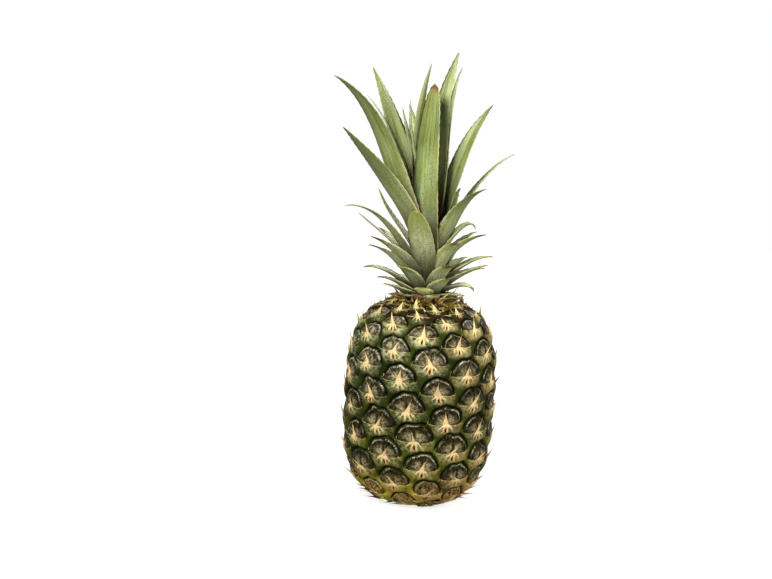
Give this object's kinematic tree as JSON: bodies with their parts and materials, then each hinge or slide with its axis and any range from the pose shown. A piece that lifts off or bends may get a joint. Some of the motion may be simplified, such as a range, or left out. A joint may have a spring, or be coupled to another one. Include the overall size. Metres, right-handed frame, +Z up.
{
  "type": "pineapple",
  "caption": "Whole pineapple standing upright: barrel-shaped fruit with spined hexagonal eyes, leafy crown and cut stalk.",
  "frame": {"origin": "middle of the flat foot that the fruit stands on", "axes": "+Z up along the fruit's axis towards the crown, -Y the front as in the picture, +X to the right"},
  "size_m": [0.1411, 0.1277, 0.3469],
  "materials": {
    "rind": "waxy green rind with dark glossy eyes and tan bracts",
    "bract": "dry, papery, tan",
    "leaf": "grey-green with a pale mealy bloom",
    "stalk": "dry, fibrous, freshly cut"
  },
  "bodies": {
    "root": {"fruit": "rind", "crown": "leaf", "stalk": "stalk"}
  },
  "joints": []
}
